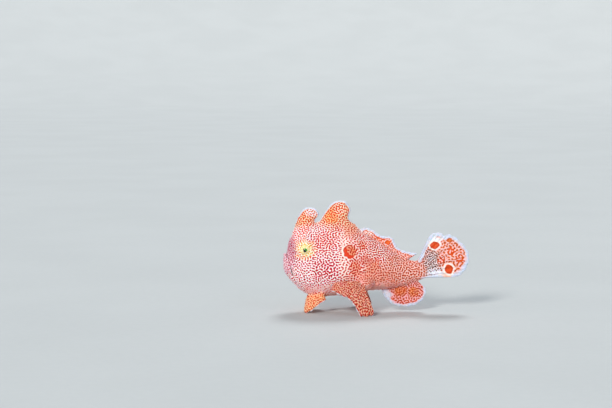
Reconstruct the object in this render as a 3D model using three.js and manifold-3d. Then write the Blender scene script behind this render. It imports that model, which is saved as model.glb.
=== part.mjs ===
// A young painted frogfish, 44 mm long, standing on its paired fins as on the sea bed.
//
// Millimetres, +Z up. The head points to -X and the left flank faces -Y. The floor is z = 0,
// and the origin lies on it under the middle of the animal. Outlines are given as [x, z] in the
// middle plane of the fish, seen from its left side.

import * as THREE from 'three';
import { mergeVertices } from 'three/addons/utils/BufferGeometryUtils.js';
import Module from 'manifold-3d';

const wasm = await Module();
wasm.setup();

// Driving dimensions
const GAP = 0.3;
const FAR = 40;
const NECK_X = -7.5;
const PEDUNCLE_X = 5.7;
const TAIL_ROOT_X = 10.5;

const JAW_TIP_X = -22;
const BODY_END_X = 12.2;
const BODY_TOP = [
  [-22, 11.8], [-21.9, 12.8], [-21.7, 13.2], [-21.35, 13.4], [-21.2, 14.1], [-21, 15.4],
  [-20.6, 16.9], [-20.1, 17.9], [-19.4, 19.2], [-18.4, 20.1], [-16.8, 20.75], [-14.7, 20.9],
  [-12, 21.1], [-8.9, 21.1], [-6.4, 20.75], [-3.3, 18.85], [0.8, 16.3], [5, 13.55],
  [7, 12.5], [8.8, 12], [10.5, 11.8], [12.2, 10.4],
];
const BODY_BOTTOM = [
  [-22, 11.8], [-21.9, 10.55], [-21.5, 9.3], [-21, 8.5], [-19.6, 6.75], [-17.85, 5.1],
  [-16.1, 4.1], [-13.7, 3.6], [-10.2, 3.8], [-3.3, 4.8], [2.2, 5.5], [7, 6.4], [9.1, 7.2],
  [10.9, 7.8], [12.2, 10.4],
];
const BODY_HALF_WIDTH = [
  [-22, 0], [-21.9, 1.2], [-21.7, 1.9], [-21.2, 2.8], [-20.6, 3.4], [-19.2, 4.1], [-17.2, 4.7],
  [-13.7, 5.1], [-10.2, 5.3], [-6.8, 5.25], [-3.3, 4.8], [0.1, 4], [3.6, 3], [7, 2], [9.1, 1.5],
  [10.9, 1.05], [12.2, 0],
];
const BODY_EGG = 0.18;
const BODY_ROUNDNESS = 0.92;

const MOUTH_LINE = [
  [4.4, -17.9], [5.7, -18.48], [6.9, -18.9], [8.65, -19.86], [11.07, -20.62], [12.8, -21],
  [13.5, -21.3], [15.2, -22],
];
const MOUTH_BOW = 0.02;
const MOUTH_CORNER_Z = 6.6;
const MOUTH_NOTCH_Z = 13;
const MOUTH_REACH = 5.5;
const MOUTH_STEPS = 8;
const LIP_RADIUS = 0.36;
const LIP_OFFSET = 0.3;
const LIP_INSET = 0.97;
const LIP_STEPS = 12;

const EYE = { x: -16.9, z: 15.15, radius: 1.3, depth: 4.1 };
const EYE_RIM = { radius: 1.6, thickness: 0.36, lean: -0.08, depth: 4.57 };
const BROW = { x: -16.8, radii: [2.4, 2, 2.2], depth: 2.85 };
const NOSTRIL = {
  x: -19.75, z: 16.3, y: 2.85, outer: 0.4, lip: 0.32, inner: 0.17, height: 0.8, turn: -0.5, tilt: 0.06,
};

const SECOND_SPINE = {
  from: 18.2,
  to: 24.8,
  front: [
    [18.2, -17], [18.6, -19.6], [20, -19.3], [21.4, -18.9], [22.7, -18.3], [23.8, -17.6],
    [24.5, -16.8], [24.8, -15.8],
  ],
  rear: [
    [18.2, -17], [18.6, -13.8], [20.2, -14.2], [21.2, -14.7], [21.9, -14.6], [22.4, -14],
    [23.05, -13.66], [23.7, -13.86], [24.5, -14.6], [24.8, -15.8],
  ],
  half: [[18.2, 0], [18.5, 1.6], [20.4, 1.6], [22.5, 1.2], [24, 0.8], [24.8, 0]],
};
const THIRD_SPINE = {
  from: 18.4,
  to: 26.4,
  front: [
    [18.4, -10], [18.8, -14.6], [20.4, -14.1], [21.1, -13.7], [22.83, -12.66], [24.9, -11.28],
    [26, -10.05], [26.4, -8.7],
  ],
  rear: [
    [18.4, -10], [18.8, -4.6], [20.4, -5.56], [21.1, -6.1], [22.3, -6.8], [23.3, -6.45],
    [24, -6.2], [24.6, -6.3], [25.3, -6.8], [26.1, -7.5], [26.4, -8.7],
  ],
  half: [[18.4, 0], [18.7, 2.9], [20.4, 2.4], [22.3, 1.6], [24.5, 1], [25.8, 0.6], [26.4, 0]],
};

const MEMBRANE_HALF = 0.27;
const RAY_RIDGE = 0.18;
const RAY_FADE = 0.25;
const THIN_FROM = 0.8;
const FIN_ROWS = [0, 0.05, 0.25, 0.45, 0.62, 0.78, 0.9, 0.965, 1];
const EDGE_INSET = 0.3;
const SOFT_DORSAL = {
  rays: 12,
  root: [[-4.3, 18.2], [-1.3, 16.5], [2.9, 13.8], [6.4, 11.6]],
  margin: [
    [-3.7, 19.5], [-2.9, 19.9], [-1.25, 19.55], [0.1, 18.6], [1.5, 17.9], [3.1, 17.75], [3.8, 17.5],
    [4.15, 16.6], [5.15, 15.05], [6.4, 14.45], [7.8, 14.1], [9.8, 13.85],
  ],
  rootHalf: 0.75,
  notch: 0.04,
};
const ANAL = {
  rays: 7,
  root: [[0.9, 6.8], [4, 7.2], [6.6, 7.9], [8.5, 8.3]],
  margin: [
    [1.5, 4.1], [2.5, 2.8], [3.6, 1.75], [5, 1.25], [6.7, 1], [8.4, 1.2], [9.8, 1.75],
    [11, 2.8], [11.7, 4.15], [11.7, 5.4],
  ],
  rootHalf: 0.8,
  notch: 0.03,
};
const CAUDAL = {
  rays: 9,
  root: [[9.3, 11.3], [9, 9.7], [9.3, 8]],
  margin: [
    [12.3, 17.7], [13.3, 18.55], [14.35, 18.8], [15.5, 18.5], [16, 18.05], [17.1, 18.35],
    [18.15, 18], [19.5, 16.95], [20.9, 15.55], [21.6, 14.5], [21.97, 12.8], [21.75, 11.4],
    [20.9, 9.7], [19.85, 8.65], [18.4, 8.15],
  ],
  rootHalf: 0.9,
  notch: 0.015,
};

// The paired fins are given for the left side as [x, y, z].
const ARM = {
  path: [[-2.2, -2.4, 7.7], [-2.9, -4.3, 7.3], [-4.1, -6.1, 6.8]],
  rootRadius: 2.1,
  wristRadius: 1.3,
};
const HAND = {
  rays: 10,
  root: [[-5, -6, 7.2], [-4.3, -6.3, 6.6], [-3.6, -6, 6.1]],
  margin: [
    [-10.4, -6, 7.4], [-11.1, -6.5, 6.2], [-10, -7.5, 5.3], [-8.2, -8.3, 4.6], [-6.5, -8.7, 3.7],
    [-5.1, -8.8, 1.7], [-3.9, -8.8, -0.25], [-2, -8.5, -0.3], [-0.6, -7.7, 0.4],
  ],
  rootHalf: 1,
  notch: 0.08,
  bulge: [0, -0.7, 0.7],
};
const PELVIC = {
  rays: 5,
  root: [[-14.6, -1.2, 5], [-13.2, -1.9, 4.8], [-11.8, -2, 4.8]],
  margin: [
    [-16.2, -0.9, -0.2], [-17, -1.6, -0.3], [-16.8, -2.9, -0.3], [-15.6, -3.8, 0.4],
    [-13.6, -4.1, 2], [-11.9, -3.7, 3.1],
  ],
  rootHalf: 0.9,
  notch: 0.1,
  bulge: [-0.5, -0.5, 0.1],
  steps: 4,
};
const LURE = {
  path: [
    [-19.2, 1.1, 17.2], [-19.3, 2, 18.9], [-18.6, 2.7, 20.5], [-17.5, 2.9, 21.7], [-16.1, 2.8, 22.3],
  ],
  rodRadius: 0.27,
  tipRadius: 0.6,
  swell: [0.78, 0.9],
};

// Interpolation

// A smooth curve through points of rising position, which never overshoots them.
function profile(points) {
  const last = points.length - 1;
  const slopes = [];
  for (let i = 0; i < last; i += 1) {
    slopes.push((points[i + 1][1] - points[i][1]) / (points[i + 1][0] - points[i][0]));
  }
  const tangents = points.map((point, i) => {
    if (i === 0) return slopes[0];
    if (i === last) return slopes[last - 1];
    const before = slopes[i - 1];
    const after = slopes[i];
    return before * after <= 0 ? 0 : (2 * before * after) / (before + after);
  });
  return (at) => {
    let i = 0;
    while (i < last - 1 && at > points[i + 1][0]) i += 1;
    const [x0, y0] = points[i];
    const [x1, y1] = points[i + 1];
    const step = x1 - x0;
    const t = THREE.MathUtils.clamp((at - x0) / step, 0, 1);
    const low = (1 + 2 * t) * (1 - t) ** 2 * y0 + t * (1 - t) ** 2 * step * tangents[i];
    const high = t ** 2 * (3 - 2 * t) * y1 + t ** 2 * (t - 1) * step * tangents[i + 1];
    return low + high;
  };
}

function curve(points) {
  const flat = ([x, z]) => [x, 0, z];
  const places = points.map((p) => new THREE.Vector3(...(p.length === 3 ? p : flat(p))));
  return new THREE.CatmullRomCurve3(places, false, 'centripetal');
}

// Closed meshes and solids

function welded(geometry) {
  const bare = geometry.index ? geometry.clone() : geometry;
  bare.deleteAttribute('normal');
  bare.deleteAttribute('uv');
  return mergeVertices(bare, 1e-4);
}

function signedVolume(geometry) {
  const { array } = geometry.attributes.position;
  const index = geometry.index.array;
  const corners = [new THREE.Vector3(), new THREE.Vector3(), new THREE.Vector3()];
  let volume = 0;
  for (let i = 0; i < index.length; i += 3) {
    corners.forEach((corner, k) => corner.fromArray(array, index[i + k] * 3));
    volume += corners[0].dot(corners[1].cross(corners[2])) / 6;
  }
  return volume;
}

function solid(geometry) {
  const mesh = welded(geometry);
  const triangles = [];
  const index = mesh.index.array;
  const inward = signedVolume(mesh) < 0;
  for (let i = 0; i < index.length; i += 3) {
    const [a, b, c] = [index[i], index[i + 1], index[i + 2]];
    if (a !== b && b !== c && c !== a) triangles.push(a, inward ? c : b, inward ? b : c);
  }
  return new wasm.Manifold(new wasm.Mesh({
    numProp: 3,
    vertProperties: new Float32Array(mesh.attributes.position.array),
    triVerts: new Uint32Array(triangles),
  }));
}

// The same surface moved outward, for the clearance that a neighbour keeps.
function swollen(geometry, distance) {
  const mesh = welded(geometry);
  mesh.computeVertexNormals();
  const outward = signedVolume(mesh) < 0 ? -distance : distance;
  const { position, normal } = mesh.attributes;
  for (let i = 0; i < position.count; i += 1) {
    position.setXYZ(
      i,
      position.getX(i) + normal.getX(i) * outward,
      position.getY(i) + normal.getY(i) * outward,
      position.getZ(i) + normal.getZ(i) * outward,
    );
  }
  return mesh;
}

function mirrored(geometry) {
  return geometry.clone().scale(1, -1, 1);
}

function join(...solids) {
  return solids.reduce((whole, piece) => whole.add(piece));
}

function cutFrom(whole, ...tools) {
  return tools.reduce((rest, tool) => rest.subtract(tool), whole);
}

function largest(shape) {
  return shape.decompose().sort((a, b) => b.volume() - a.volume())[0];
}

function block(low, high) {
  const size = high.map((value, k) => value - low[k]);
  const middle = high.map((value, k) => (value + low[k]) / 2);
  return solid(new THREE.BoxGeometry(...size).translate(...middle));
}

// Forms

// Ellipses stacked along X or Z, each between a low and a high edge in the middle plane.
function loft({ axis, from, to, low, high, half, egg = 0, stations, sides }) {
  const geometry = new THREE.SphereGeometry(1, sides, stations);
  const { position } = geometry.attributes;
  for (let i = 0; i < position.count; i += 1) {
    const along = THREE.MathUtils.lerp(from, to, (1 - position.getY(i)) / 2);
    const ring = Math.hypot(position.getX(i), position.getZ(i)) || 1;
    const cos = position.getX(i) / ring;
    const sin = position.getZ(i) / ring;
    const middle = (high(along) + low(along)) / 2;
    const reach = (high(along) - low(along)) / 2;
    const across = half(along) * Math.sign(sin) * Math.abs(sin) ** BODY_ROUNDNESS * (1 - egg * cos);
    if (axis === 'x') position.setXYZ(i, along, across, middle + reach * cos);
    else position.setXYZ(i, middle + reach * cos, across, along);
  }
  return geometry;
}

// A round tapering limb along a curve, closed at both ends by a dome.
function limb({ path, radius, sides, stations }) {
  const geometry = new THREE.SphereGeometry(1, sides, stations);
  const { position } = geometry.attributes;
  const length = path.getLength();
  for (let i = 0; i < position.count; i += 1) {
    const t = (1 - position.getY(i)) / 2;
    const place = path.getPointAt(t);
    const tangent = path.getTangentAt(t);
    const side = new THREE.Vector3(0, 1, 0).cross(tangent);
    if (side.lengthSq() < 0.2) side.set(1, 0, 0).cross(tangent);
    side.normalize();
    const other = tangent.clone().cross(side);
    const full = radius(t);
    const inset = 1 - Math.min(1, (Math.min(t, 1 - t) * length) / full);
    const dome = full * Math.sqrt(Math.max(0, 1 - inset ** 2));
    const ring = Math.hypot(position.getX(i), position.getZ(i)) || 1;
    place.addScaledVector(side, (dome * position.getX(i)) / ring);
    place.addScaledVector(other, (dome * position.getZ(i)) / ring);
    position.setXYZ(i, place.x, place.y, place.z);
  }
  return geometry;
}

// A thin closed sheet about a middle surface, both faces split into the same triangles.
function sheet({ across, along, point, half }) {
  const columns = across.length;
  const rows = along.length;
  const places = [];
  const nudge = 1e-3;
  for (const face of [1, -1]) {
    for (let i = 0; i < columns; i += 1) {
      for (let j = 0; j < rows; j += 1) {
        const [u, v] = [across[i], along[j]];
        const du = point(Math.min(1, u + nudge), v).sub(point(Math.max(0, u - nudge), v));
        const dv = point(u, Math.min(1, v + nudge)).sub(point(u, Math.max(0, v - nudge)));
        const edge = i === 0 || j === 0 || i === columns - 1 || j === rows - 1;
        const thick = edge ? 0 : half(u, v) * face;
        const place = point(u, v).addScaledVector(du.cross(dv).normalize(), thick);
        places.push(place.x, place.y, place.z);
      }
    }
  }
  const faces = [];
  const add = (a, b, c, flip) => faces.push(a, flip ? c : b, flip ? b : c);
  for (const back of [false, true]) {
    const first = back ? columns * rows : 0;
    for (let i = 0; i < columns - 1; i += 1) {
      for (let j = 0; j < rows - 1; j += 1) {
        const a = first + i * rows + j;
        const [b, c, d] = [a + rows, a + rows + 1, a + 1];
        add(a, b, c, back);
        add(a, c, d, back);
      }
    }
  }
  const geometry = new THREE.BufferGeometry();
  geometry.setAttribute('position', new THREE.Float32BufferAttribute(places, 3));
  geometry.setIndex(faces);
  return geometry;
}

// A fin spread between its root and its margin, with a ridge on both faces for each ray and the
// margin drawn in between the rays.
function fin({ rays, root, margin, rootHalf, notch, bulge = [0, 0, 0], steps = 2 }) {
  const rootCurve = curve(root);
  const marginCurve = curve(margin);
  const bow = new THREE.Vector3(...bulge);
  const crest = (u) => 0.5 - 0.5 * Math.cos(2 * Math.PI * rays * u);
  const point = (u, v) => rootCurve.getPointAt(u)
    .lerp(marginCurve.getPointAt(u), v * (1 - notch * (1 - crest(u))))
    .addScaledVector(bow, Math.sin(Math.PI * v));
  const half = (u, v) => {
    const thickness = THREE.MathUtils.lerp(rootHalf, MEMBRANE_HALF, Math.min(1, v / THIN_FROM));
    return thickness + RAY_RIDGE * crest(u) * Math.min(1, (1 - v) / RAY_FADE);
  };
  const columns = steps * rays;
  const inset = EDGE_INSET / columns;
  const across = [0, inset];
  for (let i = 1; i < columns; i += 1) across.push(i / columns);
  across.push(1 - inset, 1);
  return sheet({ across, along: FIN_ROWS, point, half });
}

// Body

const bodyTop = profile(BODY_TOP);
const bodyBottom = profile(BODY_BOTTOM);
const bodyHalf = profile(BODY_HALF_WIDTH);
const mouthX = profile(MOUTH_LINE);

function bodyForm() {
  return loft({
    axis: 'x',
    from: JAW_TIP_X,
    to: BODY_END_X,
    low: bodyBottom,
    high: bodyTop,
    half: bodyHalf,
    egg: BODY_EGG,
    stations: 46,
    sides: 32,
  });
}

// How far the flank stands out at a place of the side view.
function flank(x, z) {
  const middle = (bodyTop(x) + bodyBottom(x)) / 2;
  const reach = (bodyTop(x) - bodyBottom(x)) / 2;
  const cos = THREE.MathUtils.clamp((z - middle) / reach, -1, 1);
  const sin = Math.sqrt(1 - cos ** 2);
  return bodyHalf(x) * sin ** BODY_ROUNDNESS * (1 - BODY_EGG * cos);
}

function lipForm(shift) {
  const points = [];
  for (let i = -LIP_STEPS; i <= LIP_STEPS; i += 1) {
    const fall = Math.abs(i) / LIP_STEPS;
    const z = THREE.MathUtils.lerp(MOUTH_CORNER_Z, MOUTH_NOTCH_Z, Math.sqrt(1 - fall ** 2));
    let y = 1;
    for (let turn = 0; turn < 12; turn += 1) {
      y = (y + flank(mouthX(z) + MOUTH_BOW * y ** 2, z)) / 2;
    }
    const side = Math.sign(i) * y;
    points.push([mouthX(z) + MOUTH_BOW * side ** 2 + shift, side * LIP_INSET, z]);
  }
  return limb({ path: curve(points), radius: () => LIP_RADIUS, sides: 8, stations: 36 });
}

function mouthCut() {
  const steps = Array.from({ length: MOUTH_STEPS + 1 }, (_, i) => i / MOUTH_STEPS);
  const point = (u, v) => {
    const y = THREE.MathUtils.lerp(-MOUTH_REACH, MOUTH_REACH, u);
    const z = THREE.MathUtils.lerp(MOUTH_LINE[0][0], MOUTH_LINE.at(-1)[0], v);
    return new THREE.Vector3(mouthX(z) + MOUTH_BOW * y ** 2, y, z);
  };
  return sheet({ across: steps, along: steps, point, half: () => GAP / 2 });
}

// Eyes and nostrils

function eyeForm(radius) {
  return new THREE.SphereGeometry(radius, 20, 14).translate(EYE.x, -EYE.depth, EYE.z);
}

function eyeRim() {
  const rim = new THREE.TorusGeometry(EYE_RIM.radius, EYE_RIM.thickness, 8, 20).rotateX(Math.PI / 2);
  return rim.rotateZ(EYE_RIM.lean).translate(EYE.x, -EYE_RIM.depth, EYE.z);
}

function browForm() {
  const mound = new THREE.SphereGeometry(1, 24, 16).scale(...BROW.radii);
  return mound.translate(BROW.x, -BROW.depth, EYE.z);
}

function nostrilForm() {
  const { outer, lip, inner, height } = NOSTRIL;
  const wall = [[inner, -height / 2], [outer, -height / 2], [lip, height / 2], [inner, height / 2]];
  const outline = [...wall, wall[0]].map(([r, y]) => new THREE.Vector2(r, y));
  const ring = new THREE.LatheGeometry(outline, 10).rotateZ(NOSTRIL.turn).rotateX(NOSTRIL.tilt);
  return ring.translate(NOSTRIL.x, -NOSTRIL.y, NOSTRIL.z);
}

// Fin spines on the head

function spineForm({ from, to, front, rear, half }) {
  return loft({
    axis: 'z',
    from,
    to,
    low: profile(front),
    high: profile(rear),
    half: profile(half),
    stations: 20,
    sides: 20,
  });
}

function armForm() {
  const radius = (t) => THREE.MathUtils.lerp(ARM.rootRadius, ARM.wristRadius, t);
  return limb({ path: curve(ARM.path), radius, sides: 16, stations: 12 });
}

function lureForm() {
  const path = curve(LURE.path);
  const swell = (t) => THREE.MathUtils.smoothstep(t, ...LURE.swell);
  const radius = (t) => THREE.MathUtils.lerp(LURE.rodRadius, LURE.tipRadius, swell(t));
  return limb({ path, radius, sides: 8, stations: 22 });
}

// Solids of the trunk

const bodyShape = bodyForm();
const bodyClear = solid(swollen(bodyShape, GAP));
const floorBelow = block([-FAR, -FAR, -FAR], [FAR, FAR, 0]);
const trunk = join(solid(bodyShape), solid(fin(CAUDAL)));

function lengthOfTrunk(fromX, toX) {
  return trunk.intersect(block([fromX + GAP / 2, -FAR, -FAR], [toX - GAP / 2, FAR, FAR]));
}

function onBothSides(...forms) {
  return forms.flatMap((form) => [solid(form), solid(mirrored(form))]);
}

function headAndJaw() {
  const lips = [solid(lipForm(-LIP_OFFSET)), solid(lipForm(LIP_OFFSET))];
  const fittings = onBothSides(browForm(), eyeRim(), nostrilForm());
  const whole = join(lengthOfTrunk(-FAR, NECK_X), ...lips, ...fittings);
  const sockets = onBothSides(eyeForm(EYE.radius + GAP));
  const parted = cutFrom(whole, solid(mouthCut()), ...sockets).decompose();
  parted.sort((a, b) => b.volume() - a.volume());
  return { head: parted[0], lowerJaw: parted[1] };
}

const thirdSpineShape = spineForm(THIRD_SPINE);
const thirdSpineClear = solid(swollen(thirdSpineShape, GAP));
const armShape = armForm();
const armClear = solid(swollen(armShape, GAP));
const secondSpineShape = spineForm(SECOND_SPINE);
const secondSpineClear = solid(swollen(secondSpineShape, GAP));

const { head, lowerJaw } = headAndJaw();
const sides = [
  { name: 'left', place: (geometry) => geometry },
  { name: 'right', place: mirrored },
];

// Scene graph

const SKIN = { color: 0xe9a3a0, roughness: 0.55, metalness: 0 };
const FIN_SKIN = { color: 0xe8b4a8, roughness: 0.5, metalness: 0 };
const EYE_GLOSS = { color: 0x2b3a24, roughness: 0.12, metalness: 0 };
const frogfish = new THREE.Group();
frogfish.name = 'frogfish';

function place(name, shape, look) {
  const { vertProperties, triVerts } = shape.getMesh();
  const geometry = new THREE.BufferGeometry();
  geometry.setAttribute('position', new THREE.BufferAttribute(new Float32Array(vertProperties), 3));
  geometry.setIndex(new THREE.BufferAttribute(new Uint32Array(triVerts), 1));
  geometry.computeVertexNormals();
  const mesh = new THREE.Mesh(geometry, new THREE.MeshStandardMaterial(look));
  mesh.name = name;
  frogfish.add(mesh);
}

place('head', head, SKIN);
place('lower_jaw', lowerJaw, SKIN);
place('torso', largest(lengthOfTrunk(NECK_X, PEDUNCLE_X)), SKIN);
place('tail_peduncle', largest(lengthOfTrunk(PEDUNCLE_X, TAIL_ROOT_X)), SKIN);
place('caudal_fin', largest(lengthOfTrunk(TAIL_ROOT_X, FAR)), FIN_SKIN);
place('soft_dorsal_fin', largest(cutFrom(solid(fin(SOFT_DORSAL)), bodyClear)), FIN_SKIN);
place('anal_fin', largest(cutFrom(solid(fin(ANAL)), bodyClear)), FIN_SKIN);
place('dorsal_spine_2', largest(cutFrom(solid(secondSpineShape), bodyClear, thirdSpineClear)), SKIN);
place('dorsal_spine_3', largest(cutFrom(solid(thirdSpineShape), bodyClear)), SKIN);
place('illicium', largest(cutFrom(solid(lureForm()), bodyClear, secondSpineClear)), FIN_SKIN);

for (const side of sides) {
  const arm = cutFrom(solid(side.place(armShape)), bodyClear);
  const reach = solid(side.place(swollen(armShape, GAP)));
  const hand = cutFrom(solid(side.place(fin(HAND))), reach, bodyClear, floorBelow);
  const foot = cutFrom(solid(side.place(fin(PELVIC))), bodyClear, floorBelow);
  place(`pectoral_arm_${side.name}`, largest(arm), SKIN);
  place(`pectoral_hand_${side.name}`, largest(hand), FIN_SKIN);
  place(`pelvic_fin_${side.name}`, largest(foot), FIN_SKIN);
  place(`eye_${side.name}`, solid(side.place(eyeForm(EYE.radius))), EYE_GLOSS);
}

export default frogfish;
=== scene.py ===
"""A young painted frogfish, 44 mm long, as a museum-style model: skin, eyes, lure, light and camera.

Shapes are worked out in millimetres, in the frame of the solids, and put into Blender in metres.
The head points to -X, the left flank faces -Y and the floor is z = 0.
"""

import bpy
import numpy as np
import openvdb
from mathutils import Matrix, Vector


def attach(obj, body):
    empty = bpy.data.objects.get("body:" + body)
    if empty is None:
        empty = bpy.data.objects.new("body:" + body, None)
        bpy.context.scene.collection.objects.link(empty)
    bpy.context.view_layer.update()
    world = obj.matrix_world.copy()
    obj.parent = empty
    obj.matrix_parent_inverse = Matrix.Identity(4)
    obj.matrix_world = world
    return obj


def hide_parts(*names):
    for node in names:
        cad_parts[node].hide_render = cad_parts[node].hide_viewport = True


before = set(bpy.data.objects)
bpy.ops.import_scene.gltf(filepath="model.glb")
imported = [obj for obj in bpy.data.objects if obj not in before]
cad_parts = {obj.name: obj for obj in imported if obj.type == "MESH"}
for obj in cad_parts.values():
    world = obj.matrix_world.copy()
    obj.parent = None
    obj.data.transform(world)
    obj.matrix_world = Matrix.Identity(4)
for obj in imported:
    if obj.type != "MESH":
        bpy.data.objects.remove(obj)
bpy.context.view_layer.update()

MM = 0.001
PITCH = 0.1
BAND = 13
GRID_LOW = np.array([-23.0, -10.4, -1.2])
GRID_HIGH = np.array([23.2, 10.4, 27.8])
RELAX_ROUNDS = 3
RELAX_SHARES = (0.5, -0.52)
SETTLE_ROUNDS = 30
SEED = 7
NOISE_SIZE = 32

# Marks of the skin

MARK_ROUNDS = 6
NEAR_STEPS = 8
WIDE_STEPS = 16
SPREAD = 0.0069
SPREAD_LIMITS = (0.02, 0.68)
MARK_GAIN = 6
FILL_FEEDS = 3
FILL_WIDENS = 0.3
MOTTLE = 0.11
MOTTLE_SIZE = 1.3
MARKS_FADE = -0.3
MARKS_MEET = 0.3
UNEVEN = 0.35
UNEVEN_SIZE = 0.4

# Relief of the skin: heights, the sizes of the cells that hold one bump, and the shares with one

SWELLING_HEIGHT = 0.12
SWELLING_SIZE = 3.0
WART_HEIGHT = 0.26
WART_CELL = 1.35
WART_SHARE = 0.5
GRAIN_HEIGHT = 0.12
GRAIN_CELL = 0.5
GRAIN_SHARE = 0.8
MARK_DEPTH = 0.07
MARK_STEEPNESS = 1.5
FIN_RELIEF = 0.4
RELIEF_FROM = (0.1, 0.9)

# Outlines of the trunk, as (x, z) or (x, half width)

JAW_TIP_X = -22.0
BODY_END_X = 12.2
BODY_TOP = [
    (-22, 11.8), (-21.9, 12.8), (-21.7, 13.2), (-21.35, 13.4), (-21.2, 14.1), (-21, 15.4),
    (-20.6, 16.9), (-20.1, 17.9), (-19.4, 19.2), (-18.4, 20.1), (-16.8, 20.75), (-14.7, 20.9),
    (-12, 21.1), (-8.9, 21.1), (-6.4, 20.75), (-3.3, 18.85), (0.8, 16.3), (5, 13.55),
    (7, 12.5), (8.8, 12), (10.5, 11.8), (12.2, 10.4),
]
BODY_BOTTOM = [
    (-22, 11.8), (-21.9, 10.55), (-21.5, 9.3), (-21, 8.5), (-19.6, 6.75), (-17.85, 5.1),
    (-16.1, 4.1), (-13.7, 3.6), (-10.2, 3.8), (-3.3, 4.8), (2.2, 5.5), (7, 6.4), (9.1, 7.2),
    (10.9, 7.8), (12.2, 10.4),
]
BODY_HALF_WIDTH = [
    (-22, 0), (-21.9, 1.2), (-21.7, 1.9), (-21.2, 2.8), (-20.6, 3.4), (-19.2, 4.1), (-17.2, 4.7),
    (-13.7, 5.1), (-10.2, 5.3), (-6.8, 5.25), (-3.3, 4.8), (0.1, 4), (3.6, 3), (7, 2), (9.1, 1.5),
    (10.9, 1.05), (12.2, 0),
]
BODY_EGG = 0.18
ROUNDNESS = 0.92

# Mouth, with its line as (z, x), eyes, nostrils and gill pore. A fillet rounds what joins the
# flesh, and an edge rounds what is cut out of it.

MOUTH_LINE = [
    (4.4, -17.9), (5.7, -18.48), (6.9, -18.9), (8.65, -19.86), (11.07, -20.62), (12.8, -21),
    (13.5, -21.3), (15.2, -22),
]
MOUTH_BOW = 0.02
MOUTH_CORNER_Z = 7.4
MOUTH_TOP_Z = 15
MOUTH_HALF_WIDTH = 5.8
NOTCH_Z = 13.0
MOUTH_GAP = 0.16
MOUTH_DEPTH = 0.9
MOUTH_EDGE = 0.07
LIP_RADIUS = 0.34
LIP_OFFSET = 0.32
LIP_FILLET = 0.25
MOUTH_FOLDS = [(1.15, 7.2, 11.4, 0.5), (2.2, 6.6, 9.4, 0.4)]
FOLD_FILLET = 0.5

EYE_CENTRE = (-16.9, 4.1, 15.15)
EYE_RADIUS = 1.3
SOCKET_GAP = 0.02
SOCKET_EDGE = 0.06
BROW_CENTRE = (-16.8, 2.85, 15.15)
BROW_RADII = (2.4, 2.0, 2.2)
BROW_FILLET = 0.9
LID_HEIGHT = 0.86
LID_RADIUS = 1.5
LID_THICKNESS = 0.27
LID_LEAN = 0.05
LID_WOBBLE = 0.03
LID_FILLET = 0.3
NOSTRILS = [(-20.1, 16.2, 0.36, 0.45), (-19.0, 15.7, 0.3, 0.25)]
NOSTRIL_WAY = (-0.55, 0.8, 0.25)
NOSTRIL_FILLET = 0.2
GILL_PORE = (0.4, 6.7, 0.3)
GILL_PORE_WAY = (0.7, 1, -0.2)
GILL_PORE_FILLET = 0.4
PORE_EDGE = 0.05

# Head spines, as (z, x) or (z, half width) from the foot to the tip

SECOND_SPINE = {
    "fillet": 0.8,
    "front": [
        (18.2, -17), (18.6, -19.6), (20, -19.3), (21.4, -18.9), (22.7, -18.3), (23.8, -17.6),
        (24.5, -16.8), (24.8, -15.8),
    ],
    "rear": [
        (18.2, -17), (18.6, -13.8), (20.2, -14.2), (21.2, -14.7), (21.9, -14.6), (22.4, -14),
        (23.05, -13.66), (23.7, -13.86), (24.5, -14.6), (24.8, -15.8),
    ],
    "half": [(18.2, 0), (18.5, 1.6), (20.4, 1.6), (22.5, 1.2), (24, 0.8), (24.8, 0)],
}
THIRD_SPINE = {
    "fillet": 0.9,
    "front": [
        (18.4, -10), (18.8, -14.6), (20.4, -14.1), (21.1, -13.7), (22.83, -12.66),
        (24.9, -11.28), (26, -10.05), (26.4, -8.7),
    ],
    "rear": [
        (18.4, -10), (18.8, -4.6), (20.4, -5.56), (21.1, -6.1), (22.3, -6.8), (23.3, -6.45),
        (24, -6.2), (24.6, -6.3), (25.3, -6.8), (26.1, -7.5), (26.4, -8.7),
    ],
    "half": [(18.4, 0), (18.7, 2.9), (20.4, 2.4), (22.3, 1.6), (24.5, 1), (25.8, 0.6), (26.4, 0)],
}

# Fins, each spread between a root line and its margin. The notch is how far the margin dips
# between the rays, and the band is the width of its pale edge.

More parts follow.
